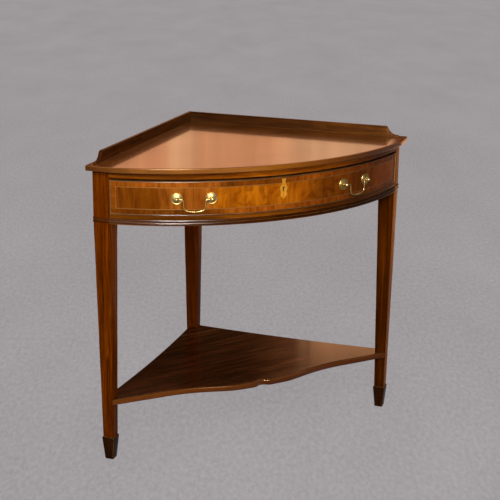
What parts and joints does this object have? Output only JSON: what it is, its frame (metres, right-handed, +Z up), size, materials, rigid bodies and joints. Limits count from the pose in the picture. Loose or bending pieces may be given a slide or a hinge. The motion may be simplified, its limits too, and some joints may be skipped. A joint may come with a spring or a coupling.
{
  "type": "corner table",
  "caption": "Bow-fronted corner table with a right-angled back, low gallery, frieze drawer with bail handles, tapered legs on spade feet and a shaped undertier shelf.",
  "frame": {"origin": "on the floor, at the middle of the overall box", "axes": "+Z up; -Y the way that the drawer opens; +Y towards the right-angled corner that goes into the room's corner; +X to the right of a person facing the drawer"},
  "size_m": [0.8882, 0.6139, 0.7865],
  "materials": {
    "polished_top_mahogany": "french polished, glossy",
    "gallery_mahogany": "polished",
    "leg_mahogany": "polished",
    "foot_mahogany": "polished",
    "frieze_mahogany": "polished",
    "shelf_mahogany": "french polished, glossy",
    "plain_oak": "unfinished",
    "drawer_lining_oak": "waxed",
    "flame_mahogany": "figured, polished",
    "satinwood_banding": "crossbanded, polished",
    "boxwood_stringing": "polished",
    "bead_mahogany": "polished",
    "boxwood_inlay": "polished",
    "aged_brass": "aged, handled bright",
    "lock_brass": "dull",
    "screw_steel": "dull"
  },
  "bodies": {
    "carcass": {"top_board": "polished_top_mahogany", "gallery_left": "gallery_mahogany", "gallery_right": "gallery_mahogany", "leg_left": "leg_mahogany", "leg_right": "leg_mahogany", "leg_back": "leg_mahogany", "spade_foot_left": "foot_mahogany", "spade_foot_right": "foot_mahogany", "spade_foot_back": "foot_mahogany", "side_rail_left": "frieze_mahogany", "side_rail_right": "frieze_mahogany", "front_top_rail": "frieze_mahogany", "front_bottom_rail": "frieze_mahogany", "frieze_moulding": "frieze_mahogany", "moulding_return_left": "frieze_mahogany", "moulding_return_right": "frieze_mahogany", "glue_blocks": "plain_oak", "top_screws": "screw_steel", "runner_left": "plain_oak", "runner_right": "plain_oak", "guide_left": "plain_oak", "guide_right": "plain_oak", "kicker_left": "plain_oak", "kicker_right": "plain_oak", "drawer_stops": "plain_oak", "undertier_shelf": "shelf_mahogany", "shelf_dowels": "plain_oak"},
    "drawer": {"drawer_front": "drawer_lining_oak", "flame_veneer": "flame_mahogany", "banding_top": "satinwood_banding", "banding_bottom": "satinwood_banding", "banding_left": "satinwood_banding", "banding_right": "satinwood_banding", "stringing_top": "boxwood_stringing", "stringing_bottom": "boxwood_stringing", "stringing_left": "boxwood_stringing", "stringing_right": "boxwood_stringing", "cock_bead_top": "bead_mahogany", "cock_bead_bottom": "bead_mahogany", "cock_bead_left": "bead_mahogany", "cock_bead_right": "bead_mahogany", "escutcheon_inlay": "boxwood_inlay", "drawer_side_left": "drawer_lining_oak", "drawer_side_right": "drawer_lining_oak", "drawer_back": "drawer_lining_oak", "drawer_bottom": "drawer_lining_oak", "lock_case": "lock_brass", "lock_screws": "screw_steel", "handle_roses_left": "aged_brass", "handle_roses_right": "aged_brass", "handle_posts_left": "aged_brass", "handle_posts_right": "aged_brass", "handle_nuts_left": "aged_brass", "handle_nuts_right": "aged_brass"},
    "bail_left": {"bail_left": "aged_brass"},
    "bail_right": {"bail_right": "aged_brass"},
    "lock_bolt": {"lock_bolt": "lock_brass"}
  },
  "joints": [
    {"name": "drawer_slide", "type": "slide", "parent": "carcass", "child": "drawer", "axis": [0, -1, 0], "range_m": [0, 0.17]},
    {"name": "bail_left_swing", "type": "hinge", "parent": "drawer", "child": "bail_left", "pos_m": [-0.2204, -0.2657, 0.685], "axis": [-0.9438, 0.3305, 0], "range_deg": [-13, 165]},
    {"name": "bail_right_swing", "type": "hinge", "parent": "drawer", "child": "bail_right", "pos_m": [0.2204, -0.2657, 0.685], "axis": [-0.9438, -0.3305, 0], "range_deg": [-13, 165]},
    {"name": "lock_bolt_throw", "type": "slide", "parent": "drawer", "child": "lock_bolt", "axis": [0, 0, 1], "range_m": [0, 0.0095]}
  ]
}
